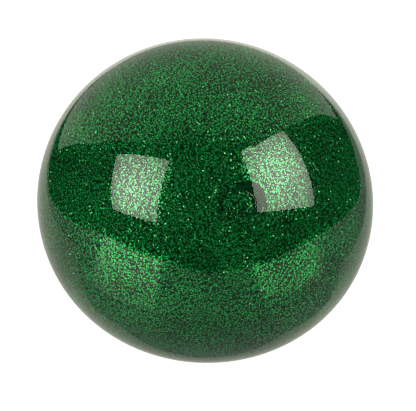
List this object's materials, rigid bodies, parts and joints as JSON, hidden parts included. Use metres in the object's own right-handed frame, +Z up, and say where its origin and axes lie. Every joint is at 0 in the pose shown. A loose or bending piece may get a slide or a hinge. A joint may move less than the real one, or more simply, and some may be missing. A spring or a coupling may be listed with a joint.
{
  "type": "glitter squeeze ball",
  "caption": "Soft glitter squeeze ball: a clear rubber skin filled with clear green gel and fine green glitter, closed by a small plug and sagging onto a flat foot.",
  "frame": {"origin": "middle of the flat foot, on the surface the ball stands on", "axes": "+Z up through the middle of the crown; the fill plug is on the -Y side, turned 15.5 degrees towards +X"},
  "size_m": [0.0612, 0.0612, 0.0551],
  "materials": {
    "clear_skin": "clear, glossy, slightly tacky thermoplastic rubber",
    "clear_plug": "clear, glossy thermoplastic rubber",
    "green_glitter": "fine metallised green polyester flakes, 0.2 to 0.4 mm across, lying at random angles",
    "green_gel": "clear dark green gel"
  },
  "bodies": {
    "root": {"outer_skin": "clear_skin", "fill_plug": "clear_plug", "glitter_layer": "green_glitter", "gel_fill": "green_gel"}
  },
  "joints": []
}
